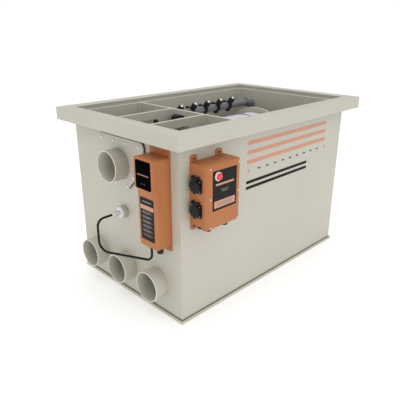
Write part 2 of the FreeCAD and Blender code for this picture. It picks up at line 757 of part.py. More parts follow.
def lamp_socket():
    """Holder screwed through the wall; the glass sleeve is gripped in its bore."""
    return turned_y(LAMP_X, LAMP_Z, [(SLEEVE_OUT, SOCKET_FACE), (21.5, SOCKET_FACE), (23, SOCKET_FACE + 1.5),
                                     (23, FRONT), (LAMP_SPIGOT_R, FRONT), (LAMP_SPIGOT_R, FRONT + 18),
                                     (SLEEVE_OUT, FRONT + 18)])


def lamp_ring():
    """White clamping ring with grip notches."""
    ring = turned_y(LAMP_X, LAMP_Z, [(10, RING_FACE), (18.5, RING_FACE), (20, RING_FACE + 1.5),
                                     (20, SOCKET_FACE), (10, SOCKET_FACE)])
    notch = block((LAMP_X - 1, LAMP_X + 1), (RING_FACE - 1, SOCKET_FACE + 1), (LAMP_Z + 19, LAMP_Z + 22))
    return cut(ring, around(notch, LAMP_X, LAMP_Z, 20))


def lamp_gland():
    """Ribbed strain relief between the ring and the cable."""
    y = (CABLE_START, RING_FACE)
    body = turned_y(LAMP_X, LAMP_Z, [(0, y[0]), (6, y[0]), (8.8, y[0] + 6), (8.8, y[1] - 3), (10, y[1] - 3),
                                     (10, y[1]), (0, y[1])])
    rib = block((LAMP_X - 0.8, LAMP_X + 0.8), (y[0] + 8, y[1] - 3), (LAMP_Z + 8, LAMP_Z + 9.9))
    return fuse([body] + around(rib, LAMP_X, LAMP_Z, 12))


def quartz_sleeve():
    inner = SLEEVE_OUT - 1.5
    near, far = SOCKET_FACE, CROSS_FRONT - 22
    return turned_y(LAMP_X, LAMP_Z, [(inner, near), (SLEEVE_OUT, near), (SLEEVE_OUT, far - 8),
                                     (8, far - 2), (0, far), (0, far - 2), (7, far - 4), (inner, far - 9)])



def uv_lamp():
    near, far = RING_FACE, CROSS_FRONT - 40
    return turned_y(LAMP_X, LAMP_Z, [(0, near), (8.5, near), (8.5, near + 26), (7.5, near + 27),
                                     (7.5, far - 12), (8.5, far - 11), (8.5, far), (0, far)])



def rounded_path(corners, radii):
    """Wire that runs straight between the corners, with an arc at each inner one."""
    edges = []
    start = corners[0]
    for before, corner, after, radius in zip(corners, corners[1:], corners[2:], radii):
        back = (before - corner).normalize()
        onward = (after - corner).normalize()
        half = back.getAngle(onward) / 2
        first = corner + back * (radius / math.tan(half))
        last = corner + onward * (radius / math.tan(half))
        middle = corner + (back + onward).normalize() * (radius / math.sin(half) - radius)
        edges.append(Part.LineSegment(start, first).toShape())
        edges.append(Part.Arc(first, middle, last).toShape())
        start = last
    edges.append(Part.LineSegment(start, corners[-1]).toShape())
    return Part.Wire(edges)


def lamp_cable():
    """Cable that loops from the lamp's strain relief up into the driver's first gland."""
    entry_x, entry_y = CABLE_ENTRY
    corners = [V(LAMP_X, CABLE_START, LAMP_Z), V(LAMP_X, CABLE_OUT, LAMP_Z),
               V(LAMP_X, CABLE_OUT, CABLE_LOW[0]), V(entry_x, entry_y, CABLE_LOW[1]),
               V(entry_x, entry_y, DRIVER_Z[0] - RELIEF_LEN)]
    circle = Part.Wire(Part.makeCircle(CABLE_R, corners[0], ALONG_Y))
    return rounded_path(corners, CABLE_BENDS).makePipeShell([circle], True, False)


# ---------- control box ----------

def control_tray():
    """Back half of the control box, with four ears on the wall."""
    y_in = (BOX_Y[0] + 3, BOX_Y[1] - 3)
    z_in = (TRAY_LOW + 3, BOX_Z[1] - 3)
    tray = block((HALF_X, TRAY_FACE), BOX_Y, (TRAY_LOW, BOX_Z[1]))
    tray = tray.makeFillet(BOX_CORNER, edges_where(tray, lambda b: b.XLength > 1))
    tray = cut(tray, [block((HALF_X + 3, TRAY_FACE + 1), y_in, z_in)])
    ears = []
    holes = []
    for y in EAR_Y:
        ears.append(block((HALF_X, HALF_X + EAR_T), (y - 15, y + 15), (EAR_HOLE[0] - 12, EAR_HOLE[1] + 12)))
        holes += [rod(V(HALF_X - 1, y, z), ALONG_X, DARK_SCREW_R, 40) for z in EAR_HOLE]
    ears = [ear.makeFillet(8, edges_where(ear, lambda b: b.XLength > 1)) for ear in ears]
    return cut(fuse([tray] + ears), holes)


def cover_screw_places():
    middle = sum(BOX_Y) / 2
    return [(middle + side * 66, z) for side in (-1, 1) for z in (379.0, 478.0, 577.0)]


def control_cover():
    """Hollow front cover with rounded edges and the button's hole."""
    shape = block((TRAY_FACE, BOX_FACE), BOX_Y, BOX_Z)
    shape = shape.makeFillet(BOX_CORNER, edges_where(shape, lambda b: b.XLength > 1))
    shape = shape.makeFillet(BOX_ROUND, edges_where(shape, lambda b: b.XMin > BOX_FACE - 0.1))
    hollow = block((TRAY_FACE - 1, BOX_FACE - 3), (BOX_Y[0] + 3, BOX_Y[1] - 3), (TRAY_LOW + 3, BOX_Z[1] - 3))
    hollow = hollow.makeFillet(BOX_ROUND - 3, edges_where(hollow, lambda b: b.XMax > TRAY_FACE))
    tools = [hollow, rod(V(TRAY_FACE, BUTTON_Y, BUTTON_Z), ALONG_X, BUTTON_R + 1, BOX_D)]
    tools += [rod(V(BOX_FACE - 5, y, z), ALONG_X, SCREW_R / 2, 10) for y, z in cover_screw_places()]
    return cut(shape, tools)


def cover_screws():
    return [pan_screw(V(BOX_FACE, y, z), ALONG_X, SCREW_R / 2, 4) for y, z in cover_screw_places()]


def button_ring():
    """Bezel whose tube passes through the cover."""
    bore = BUTTON_R + RUN_GAP
    return turned(V(BOX_FACE, BUTTON_Y, BUTTON_Z), ALONG_X,
                  [(bore, -12), (BUTTON_R + 1, -12), (BUTTON_R + 1, 0), (BUTTON_R + 2.6, 0),
                   (BUTTON_R + 2.6, 5), (BUTTON_R + 1.6, 6.5), (bore, 6.5)])


def reset_button():
    return turned(V(BOX_FACE, BUTTON_Y, BUTTON_Z), ALONG_X,
                  [(0, -8), (BUTTON_R, -8), (BUTTON_R, 9), (BUTTON_R - 1.5, 10.5), (0, 11.2)])


def socket_base(z):
    """Power socket on the box's side: square flange, round collar with a well, and two hinge ears."""
    face = BOX_Y[0]
    flange = block((SOCKET_X - 25, SOCKET_X + 25), (face - 4, face), (z - 24, z + 24))
    flange = flange.makeFillet(5, edges_where(flange, lambda b: b.YLength > 1))
    collar = rod(V(SOCKET_X, face - 9, z), ALONG_Y, 20, 5)
    ear_z = (z + 22, z + HINGE_UP + 5)
    ears = []
    for x in (SOCKET_X - 12.5, SOCKET_X + 12.5):
        ears.append(block((x - 3.5, x + 3.5), (face - 12, face - 3), ear_z))
    well = rod(V(SOCKET_X, face - 10, z), ALONG_Y, 17.5, 9)
    earth = rod(V(SOCKET_X, face - 6, z + 12), ALONG_Y, 2.4, 5)
    pin_bore = rod(V(SOCKET_X - 20, face - HINGE_OUT, z + HINGE_UP), ALONG_X, 1.5 + RUN_GAP, 40)
    screws = []
    for dx in (-18, 18):
        for dz in (-16, 16):
            screws.append(rod(V(SOCKET_X + dx, face - 5.4, z + dz), ALONG_Y, 2.6, 2))
    body = cut(fuse([flange, collar] + ears + screws), [well, pin_bore])
    return fuse([body, earth])


def socket_bases():
    return [socket_base(z) for z in SOCKET_Z]


def socket_lid(z):
    """Flap over a socket, with its knuckle, hinge pin and finger tab."""
    hinge = V(SOCKET_X, BOX_Y[0] - HINGE_OUT, z + HINGE_UP)
    back = BOX_Y[0] - 9.5
    disc = turned(V(SOCKET_X, back, z), V(0, -1, 0), [(0, 0), (LID_R, 0), (LID_R, 3), (LID_R - 2, 5), (0, 6)])
    arm = block((SOCKET_X - 8, SOCKET_X + 8), (back - 4, back), (z + 12, hinge.z))
    knuckle = rod(hinge - V(8.8, 0, 0), ALONG_X, 3.6, 17.6)
    pin = rod(hinge - V(16, 0, 0), ALONG_X, 1.5, 32)
    tab = block((SOCKET_X - 7, SOCKET_X + 7), (back - 3, back), (z - LID_R - 3.5, z - LID_R + 4))
    return fuse([disc, arm, knuckle, pin, tab])


# ---------- level sensor ----------

def level_sensor():
    """Probe head on the long divider, with two rods down into the water."""
    face = LEFT_DIV_X + DIV_T / 2
    head = block((face, face + 14), (-277, -263), (600, 643))
    head = head.makeFillet(2.5, edges_where(head, lambda b: b.XMax > face + 1))
    rods = [rod(V(face + 7, -270 + dy, 600), DOWN, 1.5, 170) for dy in (-3.5, 3.5)]
    return fuse([head] + rods)


def main():
    os.makedirs("parts", exist_ok=True)
    save("base_plate", base_plate())
    save("front_wall", pipe_wall())
    save("rear_wall", end_wall(1))
    save("left_wall", side_wall(-1))
    save("right_wall", side_wall(1))
    save("rim_frame", rim_frame())
    save("cross_divider", cross_divider())
    save("left_divider", long_divider(LEFT_DIV_X))
    save("right_divider", long_divider(RIGHT_DIV_X))
    save("inlet_stubs", inlet_stubs())
    save("outlet_plate", outlet_sheet(0, FRONT - GASKET_T, PLATE_T))
    save("outlet_gasket", outlet_sheet(GASKET_EDGE, FRONT, GASKET_T))
    save("outlet_screws", outlet_screws())
    save("outlet_stub", outlet_stub())
    save("waste_pipe", waste_pipe())
    save("waste_trough", waste_trough())
    save("drum_collar", drum_collar())
    save("bearing_band", bearing_band())
    save("drum_seal", drum_seal())
    save("drum_near_ring", drum_near_ring())
    save("drum_gear", drum_gear())
    save("drum_cage", drum_cage())
    save("drum_mesh", drum_mesh())
    save("drum_end_disc", drum_end_disc())
    save("drum_hub", drum_hub())
    save("hub_bush", hub_bush())
    save("drum_axle", drum_axle())
    save("axle_bracket", axle_bracket())
    save("drive_pinion", drive_pinion())
    save("motor_shaft", motor_shaft())
    save("motor_gearbox", motor_gearbox())
    save("motor_can", motor_can())
    save("dark_screws", dark_screws())
    save("spray_bar", spray_bar())
    save("spray_end_cap", spray_end_cap())
    save("bar_bracket", bar_bracket())
    save("nozzle_clamps", nozzle_clamps())
    save("spray_nozzles", spray_nozzles())
    save("spray_elbow", spray_elbow())
    save("riser_pipe", riser_pipe())
    save("rinse_pump", rinse_pump())
    save("driver_back", driver_back())
    save("driver_housing", driver_housing())
    save("driver_screen", driver_screen())
    save("cable_glands", cable_glands())
    save("lamp_socket", lamp_socket())
    save("lamp_ring", lamp_ring())
    save("lamp_gland", lamp_gland())
    save("quartz_sleeve", quartz_sleeve())
    save("uv_lamp", uv_lamp())
    save("lamp_cable", lamp_cable())
    save("control_tray", control_tray())
    save("control_cover", control_cover())
    save("cover_screws", cover_screws())
    save("button_ring", button_ring())
    save("reset_button", reset_button())
    save("socket_bases", socket_bases())
    save("upper_socket_lid", socket_lid(SOCKET_Z[1]))
    save("lower_socket_lid", socket_lid(SOCKET_Z[0]))
    save("level_sensor", level_sensor())


main()
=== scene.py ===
import json
import math

import bmesh
import bpy
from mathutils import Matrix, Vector


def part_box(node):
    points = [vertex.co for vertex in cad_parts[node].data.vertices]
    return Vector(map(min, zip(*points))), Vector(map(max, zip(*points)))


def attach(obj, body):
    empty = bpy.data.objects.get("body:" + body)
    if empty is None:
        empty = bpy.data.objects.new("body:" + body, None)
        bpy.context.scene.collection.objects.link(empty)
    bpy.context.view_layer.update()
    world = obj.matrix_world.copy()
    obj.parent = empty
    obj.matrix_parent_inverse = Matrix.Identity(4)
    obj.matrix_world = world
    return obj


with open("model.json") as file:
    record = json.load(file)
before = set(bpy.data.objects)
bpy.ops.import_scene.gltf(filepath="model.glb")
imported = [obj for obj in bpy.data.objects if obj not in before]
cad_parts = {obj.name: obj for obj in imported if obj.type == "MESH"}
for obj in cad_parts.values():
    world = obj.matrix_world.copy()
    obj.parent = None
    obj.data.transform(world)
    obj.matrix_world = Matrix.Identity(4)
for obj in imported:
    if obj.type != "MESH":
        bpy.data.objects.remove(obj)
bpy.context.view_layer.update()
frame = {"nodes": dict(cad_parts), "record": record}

# Looks of an open-top drum filter. Every length is in metres and every colour is linear.
# The frame's nodes stay as they are and get soft edges and materials; seams, labels, straps and
# other thin pieces are built here, in places that come from the frame's boxes.

NODES = frame["nodes"]
MM = 0.001
X, Y, Z = Vector((1, 0, 0)), Vector((0, 1, 0)), Vector((0, 0, 1))

# ---- colours ----
SHEET = (0.60, 0.575, 0.49)
SHEET_PALE = (0.70, 0.68, 0.60)
ORANGE = (0.508, 0.184, 0.064)
PVC = (0.185, 0.182, 0.195)
INK = (0.019, 0.017, 0.015)
PINK = (0.64, 0.37, 0.275)
SALMON = (0.67, 0.345, 0.24)

INSIDE_SHADE = 0.68     # the sheet's tone deep in the tank, where a film has settled on it
INSIDE_TOP = 0.35       # how much of that tone shows just below the ledge
INSIDE_UPSTAND = 0.85   # and on the upstand above it

# ---- camera and light ----
VIEW_AZIMUTH = math.radians(45.264)
VIEW_ELEVATION = math.radians(21.223)
VIEW_AIM = Vector((-0.028, -0.074, 0.265))
VIEW_DISTANCE = 2.026
LENS = 41.04
SKY = 0.80
SKY_MIRRORED = 0.42     # the sky as glossy surfaces see it, darker so that colours stay deep
FLOOR_GLOW = 0.22
FLOOR_SEEN = 0.34       # the floor's glow in direct view, so that it stays near white
KEY_POWER = 12.0
FILL_POWER = 2.0
TOP_POWER = 34.0
FLOOR_Z = -0.0005
BACKDROP = 1.05


# ---------- material helpers ----------

class Surface:
    """A Principled material with short names for the nodes that feed it."""

    def __init__(self, name, **inputs):
        self.material = bpy.data.materials.new(name)
        self.material.use_nodes = True
        self.tree = self.material.node_tree
        self.shader = self.tree.nodes["Principled BSDF"]
        self.place = self.add("TexCoord").outputs["Object"]
        for key, value in inputs.items():
            self.set(key.replace("_", " "), value)

    def add(self, kind, **settings):
        node = self.tree.nodes.new("ShaderNode" + kind)
        for key, value in settings.items():
            setattr(node, key, value)
        return node

    def feed(self, socket, value):
        if isinstance(value, bpy.types.NodeSocket):
            self.tree.links.new(value, socket)
        elif isinstance(value, tuple) and len(value) == 3 and socket.type == "RGBA":
            socket.default_value = (*value, 1)
        else:
            socket.default_value = value

    def set(self, name, value):
        self.feed(self.shader.inputs[name], value)

    def noise(self, scale, stretch=(1, 1, 1), detail=2.0, rough=0.5):
        """Noise from 0 to 1, scale in features per metre."""
        mapping = self.add("Mapping")
        self.feed(mapping.inputs["Vector"], self.place)
        mapping.inputs["Scale"].default_value = stretch
        node = self.add("TexNoise")
        self.feed(node.inputs["Vector"], mapping.outputs["Vector"])
        self.feed(node.inputs["Scale"], float(scale))
        self.feed(node.inputs["Detail"], float(detail))
        self.feed(node.inputs["Roughness"], float(rough))
        return node.outputs["Fac"]

    def maths(self, operation, a, b=0.0, c=0.0):
        node = self.add("Math", operation=operation)
        for socket, value in zip(node.inputs, (a, b, c)):
            self.feed(socket, value)
        return node.outputs[0]

    def axis(self, index):
        """The place's x, y or z."""
        split = self.add("SeparateXYZ")
        self.feed(split.inputs[0], self.place)
        return split.outputs[index]

    def span(self, value, low, high, start=0.3, end=0.7):
        """value from start..end to low..high, clamped."""
        node = self.add("MapRange")
        for socket, number in zip(node.inputs, (value, start, end, low, high)):
            self.feed(socket, number)
        return node.outputs[0]

    def mix(self, share, first, second):
        node = self.add("Mix", data_type="RGBA")
        self.feed(node.inputs["Factor"], share)
        colours = [s for s in node.inputs if s.type == "RGBA"]
        self.feed(colours[0], first)
        self.feed(colours[1], second)
        return next(s for s in node.outputs if s.type == "RGBA")

    def bump(self, *layers):
        """layers are (height, depth in metres), laid on each other."""
        normal = None
        for height, depth in layers:
            node = self.add("Bump")
            self.feed(node.inputs["Height"], height)
            node.inputs["Distance"].default_value = depth
            if normal:
                self.feed(node.inputs["Normal"], normal)
            normal = node.outputs["Normal"]
        self.set("Normal", normal)

    def edge(self, radius, gain=6.0):
        """Share that is 1 on corners sharper than radius and 0 on flats."""
        soft = self.add("Bevel", samples=4)
        soft.inputs["Radius"].default_value = radius
        normal = self.add("NewGeometry").outputs["Normal"]
        dot = self.add("VectorMath", operation="DOT_PRODUCT")
        self.feed(dot.inputs[0], soft.outputs["Normal"])
        self.feed(dot.inputs[1], normal)
        away = self.maths("SUBTRACT", 1.0, dot.outputs["Value"])
        node = self.add("Math", operation="MULTIPLY", use_clamp=True)
        self.feed(node.inputs[0], away)
        self.feed(node.inputs[1], gain)
        return node.outputs[0]


def scaled(colour, by):
    return tuple(c * by for c in colour)


# ---------- materials ----------

WALL_LOW = Vector((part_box("left_wall")[0].x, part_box("front_wall")[0].y, 0))
WALL_HIGH = Vector((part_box("right_wall")[1].x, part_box("rear_wall")[1].y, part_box("rear_wall")[1].z))
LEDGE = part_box("cross_divider")[1].z


def inside_tank(s):
    """Share that is 1 between the walls' outer faces and 0 on and beyond them."""
    share = 1.0
    for index in (0, 1):
        half = (WALL_HIGH[index] - WALL_LOW[index]) / 2 - 1 * MM
        near = s.maths("LESS_THAN", s.maths("ABSOLUTE", s.axis(index)), half)
        share = s.maths("MULTIPLY", near, share)
    return share


def inside_pipe(s, x, z, radius):
    """Share that is 1 nearer than radius to a line along Y."""
    across = s.maths("SUBTRACT", s.axis(0), x)
    up = s.maths("SUBTRACT", s.axis(2), z)
    reach = s.maths("MULTIPLY_ADD", across, across, s.maths("MULTIPLY", up, up))
    return s.maths("LESS_THAN", reach, radius * radius)


def shaded_inside(s, tone, colour, pale):
    """Darkens tone with depth inside the tank, and leaves the cut edges on the ledge pale."""
    inside = inside_tank(s)
    height = s.axis(2)
    depth = s.span(height, 1, INSIDE_TOP, LEDGE - 0.30, LEDGE)
    below = s.maths("MULTIPLY", s.maths("LESS_THAN", height, LEDGE - 0.5 * MM), depth)
    middle, half = (WALL_HIGH.z + LEDGE) / 2, (WALL_HIGH.z - LEDGE) / 2
    upstand = s.maths("COMPARE", height, middle, half - 0.5 * MM)
    shade = s.maths("MULTIPLY_ADD", upstand, INSIDE_UPSTAND, below)
    tone = s.mix(s.maths("MULTIPLY", inside, shade), tone, scaled(colour, INSIDE_SHADE))
    cut_edge = s.maths("MULTIPLY", inside, s.maths("COMPARE", height, LEDGE, 0.4 * MM))
    return s.mix(cut_edge, tone, pale)


def sheet_plastic(name, colour=SHEET, pale=SHEET_PALE, worn=0.0016, mouth=None, bore=None, fixed=True):
    """Extruded polypropylene sheet: satin, a little cloudy, with faint lines and pale worn edges.

    A fixed part is darker where it stands inside the tank."""
    s = Surface(name, IOR=1.49)
    cloud = s.noise(3.1, detail=4)
    lines = s.noise(38, stretch=(1, 1, 0.06), detail=3)
    tone = s.mix(s.span(cloud, 0, 1), scaled(colour, 0.975), scaled(colour, 1.02))
    tone = s.mix(s.span(lines, 0, 0.35), tone, scaled(colour, 0.95))
    specks = s.span(s.noise(900, detail=1), 0, 0.12, 0.55, 0.8)
    tone = s.mix(specks, tone, scaled(colour, 0.8))
    if fixed:
        tone = shaded_inside(s, tone, colour, pale)
    if bore is not None:
        tone = s.mix(inside_pipe(s, *bore), tone, scaled(colour, 1.22))
    if mouth is not None:
        tone = s.mix(s.span(s.axis(1), 1, 0, mouth + 1.4 * MM, mouth + 2.2 * MM), tone, pale)
    s.set("Base Color", s.mix(s.edge(worn, 2.5), tone, pale))
    s.set("Roughness", s.span(s.noise(14, detail=4), 0.36, 0.52))
    s.bump((lines, 0.00010), (s.noise(140, detail=2), 0.00008), (s.noise(1500), 0.00002))
    return s.material


def pipe_plastic(node, shade, bore=None):
    """The sheet's plastic as pipe along Y, with a paler sawn mouth."""
    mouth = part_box(node)[0].y
    name, colour, pale = node + "_plastic", scaled(SHEET, shade), scaled(SHEET_PALE, 1.12)
    return sheet_plastic(name, colour, pale, mouth=mouth, bore=bore)


def weld_plastic():
    """Extruded weld bead: the sheet's own plastic, a little glossier and uneven."""
    s = Surface("weld_plastic", IOR=1.49)
    s.set("Base Color", s.mix(s.noise(60, detail=3), scaled(SHEET, 1.0), scaled(SHEET, 1.14)))
    s.set("Roughness", s.span(s.noise(200), 0.26, 0.40))
    s.bump((s.noise(420, detail=3), 0.0002))
    return s.material


def pvc_plastic():
    """Grey pressure pipe with faint lines from extrusion and rubbed marks."""
    s = Surface("pvc_plastic", IOR=1.54)
    lines = s.noise(260, stretch=(1, 0.03, 1), detail=3)
    tone = s.mix(s.noise(25, detail=4), scaled(PVC, 0.92), scaled(PVC, 1.08))
    rubbed = s.span(s.noise(90, detail=5, rough=0.7), 0, 0.5, 0.58, 0.75)
    tone = s.mix(rubbed, tone, scaled(PVC, 1.35))
    s.set("Base Color", s.mix(s.edge(0.0012, 2.5), tone, scaled(PVC, 1.6)))
    s.set("Roughness", s.span(lines, 0.30, 0.42))
    s.bump((lines, 0.00006), (s.noise(700), 0.00003))
    return s.material


def moulded_plastic(name, colour, rough=0.42, grain=0.00006, wear=1.25, shine=0.35):
    """Injection moulded housing with a fine spark-eroded texture."""
    s = Surface(name, IOR=1.5, Specular_IOR_Level=shine)
    cloud = s.noise(9, detail=4)
    tone = s.mix(s.span(cloud, 0, 1), scaled(colour, 0.96), scaled(colour, 1.03))
    fine = s.noise(1700, detail=2)
    tone = s.mix(s.span(fine, 0, 0.25), tone, scaled(colour, 0.86))
    s.set("Base Color", s.mix(s.edge(0.0012, 2.2), tone, scaled(colour, wear)))
    s.set("Roughness", s.span(s.noise(40, detail=4), rough - 0.06, rough + 0.08))
    s.bump((fine, grain), (s.noise(260), grain * 0.7))
    return s.material


def black_plastic():
    s = Surface("black_plastic", IOR=1.5)
    fine = s.noise(1300, detail=2)
    tone = s.mix(s.noise(30, detail=4), (0.0065, 0.0068, 0.0075), (0.014, 0.0145, 0.016))
    s.set("Base Color", s.mix(s.edge(0.0010, 2.5), tone, (0.05, 0.052, 0.056)))
    s.set("Roughness", s.span(s.noise(70, detail=4), 0.32, 0.50))
    s.set("Specular IOR Level", 0.3)
    s.bump((fine, 0.00005))
    return s.material


def rubber():
    """Dull elastomer of seals and the lamp cable."""
    s = Surface("seal_rubber", IOR=1.52)
    s.set("Base Color", s.mix(s.noise(45, detail=5), (0.005, 0.005, 0.005), (0.010, 0.0098, 0.0095)))
    s.set("Roughness", s.span(s.noise(160, detail=3), 0.42, 0.58))
    s.set("Specular IOR Level", 0.25)
    s.bump((s.noise(1100, detail=3), 0.00005))
    return s.material


def gasket_foam(name, colour):
    """Closed-cell gasket or sealant."""
    s = Surface(name, IOR=1.45)
    cells = s.noise(1200, detail=2)
    s.set("Base Color", s.mix(cells, scaled(colour, 0.75), scaled(colour, 1.25)))
    s.set("Roughness", 0.8)
    s.bump((cells, 0.0002))
    return s.material


def stainless():
    """Turned and drawn stainless steel with fine tool lines."""
    s = Surface("stainless", Metallic=1.0)
    lines = s.noise(900, stretch=(1, 0.05, 1), detail=3)
    s.set("Base Color", s.mix(s.noise(30, detail=3), (0.56, 0.55, 0.53), (0.68, 0.67, 0.66)))
    s.set("Roughness", s.span(lines, 0.18, 0.34))
    s.bump((lines, 0.00002))
    return s.material


def bright_steel():
    """Clean pan heads that catch the light."""
    s = Surface("bright_steel", Metallic=0.45)
    s.set("Base Color", s.mix(s.noise(90, detail=3), (0.80, 0.80, 0.79), (0.95, 0.95, 0.94)))
    s.set("Roughness", s.span(s.noise(700), 0.22, 0.36))
    s.bump((s.noise(1200), 0.00002))
    return s.material


def woven_mesh():
    """Fine stainless cloth round the drum. The wires run round the drum and along it."""
    s = Surface("woven_mesh", IOR=1.5, Metallic=0.35)
    lo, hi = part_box("drum_mesh")
    centre, radius = (lo + hi) / 2, (hi.z - lo.z) / 2
    across = s.maths("SUBTRACT", s.axis(0), centre.x)
    up = s.maths("SUBTRACT", s.axis(2), centre.z)
    around = s.maths("MULTIPLY", s.maths("ARCTAN2", across, up), radius)
    pitch = 2 * math.pi / (1.6 * MM)
    warp = s.maths("SINE", s.maths("MULTIPLY", around, pitch))
    weft = s.maths("SINE", s.maths("MULTIPLY", s.axis(1), pitch))
    weave = s.span(s.maths("MULTIPLY", warp, weft), 0, 1, -1, 1)
    stain = s.span(s.noise(11, stretch=(1, 0.5, 1), detail=5, rough=0.6), 0, 0.35, 0.45, 0.75)
    tone = s.mix(weave, (0.71, 0.70, 0.74), (0.93, 0.92, 0.96))
    s.set("Base Color", s.mix(stain, tone, (0.76, 0.75, 0.75)))
    s.set("Roughness", s.span(weave, 0.34, 0.52, 0, 1))
    s.bump((weave, 0.0003))
    return s.material


def bearing_plastic():
    """Off-white acetal of the gear, pinion and running ring."""
    s = Surface("bearing_plastic", IOR=1.48)
    s.set("Base Color", s.mix(s.noise(40, detail=3), (0.62, 0.61, 0.57), (0.72, 0.71, 0.67)))
    s.set("Roughness", s.span(s.noise(300, detail=2), 0.28, 0.42))
    s.bump((s.noise(600, stretch=(1, 0.2, 1)), 0.00004))
    return s.material


def gloss_black():
    """Dark display window."""
    s = Surface("gloss_black", IOR=1.2)
    s.set("Base Color", s.mix(s.noise(20), (0.0006, 0.0006, 0.0007), (0.0012, 0.0012, 0.0014)))
    s.set("Roughness", s.span(s.noise(35, detail=5, rough=0.7), 0.10, 0.18))
    s.set("Specular IOR Level", 0.03)
    return s.material


def clear_plastic(name, colour, rough):
    """Hazy moulding with fine ribs across its length."""
    s = Surface(name, IOR=1.49, Transmission_Weight=0.06)
    ribs = s.maths("SINE", s.maths("MULTIPLY", s.axis(1), 2 * math.pi / (3.2 * MM)))
    tone = s.mix(s.noise(60, detail=3), scaled(colour, 0.95), colour)
    s.set("Base Color", s.mix(s.span(ribs, 0, 1, 0.3, 1.0), tone, scaled(colour, 0.62)))
    s.set("Roughness", s.span(s.noise(200), rough - 0.05, rough + 0.05))
    s.bump((ribs, 0.0002), (s.noise(500), 0.00005))
    return s.material


def glass(name, colour, rough, clear):
    s = Surface(name, IOR=1.46, Transmission_Weight=clear)
    s.set("Base Color", colour)
    s.set("Roughness", s.span(s.noise(60, detail=4), rough, rough + 0.03))
    return s.material


def print_film(name, colour, rough=0.45):
    """Printed polyester label."""
    s = Surface(name, IOR=1.5, Specular_IOR_Level=0.12)
    s.set("Base Color", s.mix(s.noise(55, detail=5), scaled(colour, 0.93), scaled(colour, 1.05)))
    s.set("Roughness", s.span(s.noise(120, detail=3), rough - 0.05, rough + 0.07))
    s.bump((s.noise(800, detail=2), 0.00002))
    return s.material


def button_plastic():
    s = Surface("red_plastic", IOR=1.5)
    s.set("Base Color", s.mix(s.noise(120, detail=3), (0.78, 0.035, 0.055), (0.88, 0.05, 0.07)))
    s.set("Roughness", s.span(s.noise(240), 0.22, 0.32))
    s.set("Coat Weight", 0.3)
    s.bump((s.noise(900), 0.00002))
    return s.material


OUTLET_LOW, OUTLET_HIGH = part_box("outlet_stub")
OUTLET_MIDDLE = (OUTLET_LOW + OUTLET_HIGH) / 2
OUTLET_BORE = (OUTLET_MIDDLE.x, OUTLET_MIDDLE.z, (OUTLET_HIGH.x - OUTLET_LOW.x) / 2 - 2 * MM)

MATERIALS = {
    "tank_plastic": sheet_plastic("tank_plastic"),
    "grey_pvc": pvc_plastic(),
    "bearing_plastic": bearing_plastic(),
    "seal_rubber": rubber(),
    "stainless": stainless(),
    "black_plastic": black_plastic(),
    "motor_paint": moulded_plastic("motor_paint", (0.020, 0.021, 0.023), 0.36),
    "orange_plastic": moulded_plastic("orange_plastic", ORANGE),
    "gloss_black": gloss_black(),
    "white_plastic": moulded_plastic("white_plastic", (0.90, 0.90, 0.88), 0.32, 0.00003, 1.05),
    "clear_grey_plastic": clear_plastic("clear_grey_plastic", (0.95, 0.95, 0.94), 0.24),
    "quartz": glass("quartz", (0.95, 0.97, 0.97), 0.02, 0.95),
    "red_plastic": button_plastic(),
}
OWN_MATERIALS = {
    "drum_mesh": woven_mesh(),
    "outlet_gasket": gasket_foam("gasket_foam", (0.080, 0.077, 0.062)),
    "outlet_screws": bright_steel(),
    "uv_lamp": glass("lamp_glass", (0.86, 0.87, 0.88), 0.25, 0.4),
    "lamp_socket": sheet_plastic("socket_plastic", scaled(SHEET, 0.86)),
    "drum_end_disc": sheet_plastic("drum_plastic", scaled(SHEET, 0.84), scaled(SHEET_PALE, 0.92),
                                   fixed=False),
    "inlet_stubs": pipe_plastic("inlet_stubs", 0.95),
    "outlet_stub": pipe_plastic("outlet_stub", 0.79, bore=OUTLET_BORE),
    "waste_pipe": sheet_plastic("waste_pipe_plastic", scaled(SHEET, 1.10)),
}
OWN_MATERIALS["cover_screws"] = OWN_MATERIALS["outlet_screws"]
OWN_MATERIALS["drum_near_ring"] = OWN_MATERIALS["drum_end_disc"]
WELD = weld_plastic()
LABEL_INK = print_film("label_ink", INK)
LABEL_EDGE = print_film("label_edge", scaled(INK, 0.45), 0.35)
LABEL_PINK = print_film("label_pink", PINK)
LABEL_GREY = print_film("label_grey", (0.26, 0.25, 0.25))
LABEL_RED = print_film("label_red", (0.30, 0.11, 0.095))
LABEL_PRINT = print_film("label_print", (0.34, 0.20, 0.16))
STRIPE_SALMON = print_film("stripe_salmon", SALMON, 0.4)
STRIPE_DARK = print_film("stripe_dark", (0.007, 0.007, 0.006), 0.4)


# ---------- CAD nodes ----------

# Width of the rounded edges in millimetres, by material slot and for single nodes.
SOFT_EDGE = {
    "tank_plastic": 0.8, "grey_pvc": 0.5, "orange_plastic": 0.6, "black_plastic": 0.4,
    "white_plastic": 0.4, "stainless": 0.25, "bearing_plastic": 0.3, "seal_rubber": 0.4,
}
EDGE_BY_NODE = {
    "rim_frame": 1.6, "drum_gear": 0.2, "drive_pinion": 0.2, "drum_mesh": 0.0, "lamp_cable": 0.0,
}


def round_edges(thing, width, segments=2):
    bevel = thing.modifiers.new("soft_edges", "BEVEL")
    bevel.width = width
    bevel.segments = segments
    bevel.limit_method = "ANGLE"
    bevel.angle_limit = math.radians(38)
    bevel.harden_normals = True


def finish_node(name, node):
    """Gives a frame node its material and small rounded edges."""
    slot = node["slot"]
    material = OWN_MATERIALS.get(name, MATERIALS[slot])
    for place in node.material_slots:
        place.material = material
    weld = node.modifiers.new("weld", "WELD")
    weld.merge_threshold = 0.00001
    width = EDGE_BY_NODE.get(name, SOFT_EDGE.get(slot, 0.3)) * MM
    if width:
        flats = node.modifiers.new("flats", "DECIMATE")
        flats.decimate_type = "DISSOLVE"
        flats.angle_limit = math.radians(0.5)
        round_edges(node, width)


